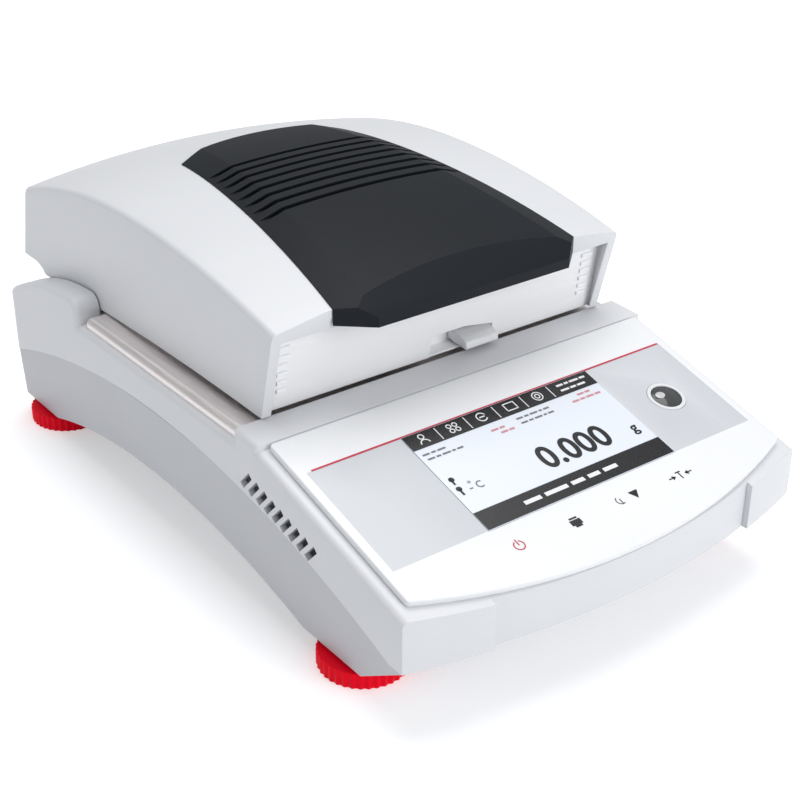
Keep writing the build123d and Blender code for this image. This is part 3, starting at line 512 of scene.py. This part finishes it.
# a white film with a grey field on each side of the screen
def panelFinish():
    material, nodes, links, shader = newFinish("panelFilm")
    place = nodes.new("ShaderNodeTexCoord")
    axes = nodes.new("ShaderNodeSeparateXYZ")
    links.new(place.outputs["Object"], axes.inputs[0])

    def step(source, edge, operation):
        compare = nodes.new("ShaderNodeMath")
        compare.operation = operation
        compare.inputs[1].default_value = edge * mm
        links.new(source, compare.inputs[0])
        return compare.outputs[0]

    def both(a, b):
        times = nodes.new("ShaderNodeMath")
        times.operation = "MULTIPLY"
        links.new(a, times.inputs[0])
        links.new(b, times.inputs[1])
        return times.outputs[0]

    inFront = step(axes.outputs["Y"], panel["greyRear"], "LESS_THAN")
    behind = step(axes.outputs["Y"], panel["greyFront"], "GREATER_THAN")
    width = nodes.new("ShaderNodeMath")
    width.operation = "ABSOLUTE"
    links.new(axes.outputs["X"], width.inputs[0])
    beside = step(width.outputs[0], panel["greyInner"], "GREATER_THAN")
    within = step(width.outputs[0], panel["greyOuter"], "LESS_THAN")
    fields = both(both(inFront, behind), both(beside, within))
    cloud = objectNoise(nodes, links, 0.06, 2)
    grey = nodes.new("ShaderNodeMix")
    grey.data_type = "RGBA"
    grey.inputs["B"].default_value = (*panel["grey"], 1)
    tone(nodes, links, cloud.outputs["Fac"], panel["whiteShade"], panel["white"], grey.inputs["A"])
    links.new(fields, grey.inputs["Factor"])
    links.new(grey.outputs["Result"], shader.inputs["Base Color"])
    fine = objectNoise(nodes, links, 0.0005, 2)
    spread(nodes, links, fine.outputs["Fac"], 0.28, 0.36, shader.inputs["Roughness"])
    grainBump(nodes, links, fine.outputs["Fac"], 0.05, 0.0001, shader)
    return material


easedCopy("control_panel", "controlPanel", "base", panelFinish(), 0.0007)

# bars and separators from v to v, icons by u; lettering is name, text, height, u, v, boldness and width
screenPrint = {
    "half": 50.0,
    "barTop": (-28.9, -20.4),
    "barBottom": (-77.0, -67.2),
    "separators": (-34.3, -19.2, -4.0, 11.2, 26.4),
    "separatorSpan": (-28.2, -21.2),
    "icons": (-42.3, -26.6, -11.6, 4.0, 19.0),
    "iconLine": -24.4,
    "lettering": (
        ("bigDigits", "0.000", 12.2, -6.0, -61.2, 0.35, 0.98),
        ("unitSign", "g", 5.6, 42.6, -60.4, 0.12, 1.0),
    ),
    "greyRows": ((-48.2, -35.0, -32.4), (-47.6, -27.0, -35.2), (1.2, 19.0, -31.9), (1.6, 21.0, -34.8)),
    "redRows": ((-13.2, -3.0, -33.0), (-10.0, -2.0, -35.6), (36.0, 46.0, -31.2), (31.0, 48.5, -34.0)),
    "rule": (-20.4, -19.5),
    "keys": {"power": (-44.4, -88.6), "print": (-16.0, -88.7), "info": (8.7, -88.3), "tare": (42.1, -88.8)},
}
half = screenPrint["half"]
blackBars = [
    bar("topBar", -half, half, *screenPrint["barTop"]),
    bar("bottomBar", -half, half, *screenPrint["barBottom"]),
]
printGroup("screenBars", blackBars, screenInk, 1)

# the reading, with the small heat and time signs on its left
digitParts = [
    *[textShape(*sign) for sign in screenPrint["lettering"]],
    disc("heatDot", -46.2, -48.5, 1.3),
    disc("heatDotLow", -46.6, -54.0, 1.3),
    bar("heatStem", -46.9, -46.0, -51.5, -48.0),
    bar("timeStem", -47.1, -46.1, -57.6, -54.0),
]
printGroup("screenDigits", digitParts, screenInk, 1)

greyRows = []
for start, end, v in screenPrint["greyRows"]:
    greyRows += wordRow("row", start, v, (3.4, 2.2, 4.0, 1.6, 3.0, 2.6, 3.6), 0.45, 0.9, end)
greyRows.append(ringShape("degreeSign", -40.6, -52.6, 0.7, 0.3))
greyRows.append(bar("degreeDash", -42.6, -41.0, -56.2, -55.6))
greyRows.append(ringShape("degreeScale", -37.0, -55.4, 1.9, 0.55, 50, 310))
printGroup("screenRows", greyRows, greyInk, 1)
redRows = []
for start, end, v in screenPrint["redRows"]:
    redRows += wordRow("redRow", start, v, (3.6, 2.6, 4.2, 3.0), 0.5, 0.8, end)
printGroup("screenRedRows", redRows, paleRedInk, 1)

# white marks on the two bars
marks = []
for u in screenPrint["separators"]:
    marks.append(bar("separator", u - 0.22, u + 0.22, *screenPrint["separatorSpan"]))
person, method, leaf, folder, gear = screenPrint["icons"]
v = screenPrint["iconLine"]
marks.append(ringShape("personHead", person, v + 1.3, 1.5, 0.5))
marks.append(ringShape("personBody", person, v - 2.6, 2.4, 0.55, 0, 180))
for du, dv in ((-1.5, 1.3), (1.5, 1.3), (-1.5, -1.5), (1.5, -1.5)):
    marks.append(ringShape("methodRing", method + du, v + dv, 1.3, 0.5, sides=16))
marks.append(ringShape("leafLoop", leaf, v, 2.6, 0.55, 20, 330))
marks.append(bar("leafStem", leaf - 1.2, leaf + 1.6, v - 0.3, v + 0.3))
marks.append(bar("folderTop", folder - 3.0, folder + 3.0, v + 1.9, v + 2.4))
marks.append(bar("folderFoot", folder - 3.0, folder + 3.0, v - 2.3, v - 1.8))
marks.append(bar("folderLeft", folder - 3.0, folder - 2.5, v - 2.3, v + 2.4))
marks.append(bar("folderRight", folder + 2.5, folder + 3.0, v - 2.3, v + 2.4))
marks.append(ringShape("wheelRim", gear, v, 2.7, 0.5))
marks.append(ringShape("wheelHub", gear, v, 1.4, 0.5))
marks += wordRow("clockRow", 31.0, -23.0, (3.6, 2.2, 5.0, 3.0), 0.55, 0.8)
marks += wordRow("clockRow", 31.0, -26.2, (4.6, 3.2, 4.4), 0.55, 0.8)
marks += wordRow("promptWord", -28.0, -72.1, (8.6, 11.8, 6.8, 6.2, 7.4), 1.0, 2.2)
printGroup("screenMarks", marks, whiteInk, 2.4)

# red rule across the panel and the touch marks under the screen
ruleFront, ruleRear = screenPrint["rule"]
redParts = [
    bar("ruleLeft", -93.0, -50.3, ruleFront, ruleRear),
    bar("ruleMiddle", -50.3, 50.3, ruleFront + 0.3, ruleRear),
    bar("ruleRight", 50.3, 95.0, ruleFront, ruleRear),
]
u, v = screenPrint["keys"]["power"]
redParts.append(ringShape("powerRing", u, v, 2.5, 0.5, 115, 425))
redParts.append(bar("powerStem", u - 0.25, u + 0.25, v, v + 3.2))
printGroup("panelRedPrint", redParts, redInk, 1)
u, v = screenPrint["keys"]["print"]
blackParts = [
    bar("printerBody", u - 2.6, u + 2.6, v - 2.0, v + 0.7),
    bar("printerSlot", u - 1.9, u + 1.9, v + 1.2, v + 2.0),
    bar("printerPaper", u - 1.6, u + 1.6, v - 3.1, v - 2.0),
]
u, v = screenPrint["keys"]["info"]
blackParts.append(ringShape("infoLoop", u, v, 2.2, 0.35, 120, 300))
blackParts.append(bar("infoStem", u - 0.2, u + 0.2, v - 1.6, v + 0.8))
u += 8.0
blackParts.append(flatShape("infoTriangle", [(u - 2.4, v + 1.8), (u + 2.4, v + 1.8), (u, v - 2.4)]))
u, v = screenPrint["keys"]["tare"]
blackParts.append(bar("tareTop", u - 1.4, u + 1.4, v + 1.6, v + 2.1))
blackParts.append(bar("tareStem", u - 0.25, u + 0.25, v - 2.0, v + 2.1))
for side in (-1, 1):
    near, far = sorted((u + side * 3.0, u + side * 6.4))
    blackParts.append(bar("tareLine", near, far, v - 0.25, v + 0.25))
    base = u + side * 4.4
    blackParts.append(flatShape("tareTip", [(u + side * 2.6, v), (base, v + 1.2), (base, v - 1.2)]))
printGroup("panelKeyMarks", blackParts, screenInk, 1)
print("panel ready")

# spirit level: a dark dome and its pale bubble
level = {
    "place": (72.6, -49.2),
    "radius": 6.9,
    "dome": 1.1,
    "sunk": 0.7,
    "bubble": 2.5,
    "bubbleShape": (1, 0.8, 0.18),
    "bubblePlace": (70.3, -47.6),
    "bubbleLift": 0.2,
}
high = level["dome"] * mm
domeRadius = ((level["radius"] * mm) ** 2 + high ** 2) / (2 * high)
middle = (0, 0, high - domeRadius)
bpy.ops.mesh.primitive_uv_sphere_add(segments=48, ring_count=96, radius=domeRadius, location=middle)
dome = bpy.context.object
dome.name = "levelDome"
applyPlace(dome)
bpy.ops.object.mode_set(mode="EDIT")
bpy.ops.mesh.select_all(action="SELECT")
bpy.ops.mesh.bisect(plane_co=(0, 0, 0), plane_no=(0, 0, 1), clear_inner=True, use_fill=True)
bpy.ops.object.mode_set(mode="OBJECT")
ontoPanel(dome, *level["place"], -level["sunk"])
finishPiece(dome, "base", levelLiquid)
bpy.ops.mesh.primitive_uv_sphere_add(segments=32, ring_count=16, radius=level["bubble"] * mm)
bubble = bpy.context.object
bubble.name = "levelBubble"
bubble.scale = level["bubbleShape"]
applyPlace(bubble)
ontoPanel(bubble, *level["bubblePlace"], level["bubbleLift"])
finishPiece(bubble, "base", bubbleFinish)
print("level ready")
